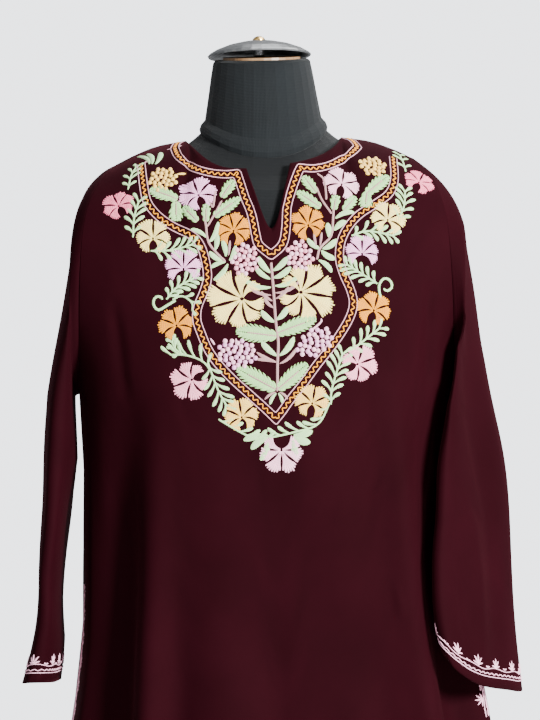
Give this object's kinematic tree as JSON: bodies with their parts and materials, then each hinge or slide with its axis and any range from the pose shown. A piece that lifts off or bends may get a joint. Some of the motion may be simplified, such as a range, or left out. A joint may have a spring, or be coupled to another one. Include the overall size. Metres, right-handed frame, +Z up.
{
  "type": "pheran on a limbless dress form",
  "caption": "Long loose pull-on tunic with a slit neck and straight sleeves, worn by a limbless dress form on a stand.",
  "frame": {"origin": "on the floor at the centre of the stand's base, under the pole", "axes": "+Z up, -Y towards the garment's front, +X towards the wearer's left"},
  "size_m": [0.5397, 0.42, 1.4811],
  "materials": {
    "cloth": "deep maroon wool-like cloth, slightly sheeny, with embroidery in greens, cream, orange and pinks",
    "form_cover": "dark slate knitted cover",
    "disc": "varnished",
    "cap_metal": "satin grey",
    "nut": "polished",
    "tube": "satin",
    "iron": "black paint"
  },
  "bodies": {
    "root": {"front": "cloth", "back": "cloth", "sleeve_left": "cloth", "sleeve_right": "cloth", "form_body": "form_cover", "form_neck": "form_cover", "neck_disc": "disc", "cap_spindle": "cap_metal", "neck_cap": "cap_metal", "cap_nut": "nut", "form_plate": "iron", "pole": "tube", "stand_base": "iron"}
  },
  "joints": []
}
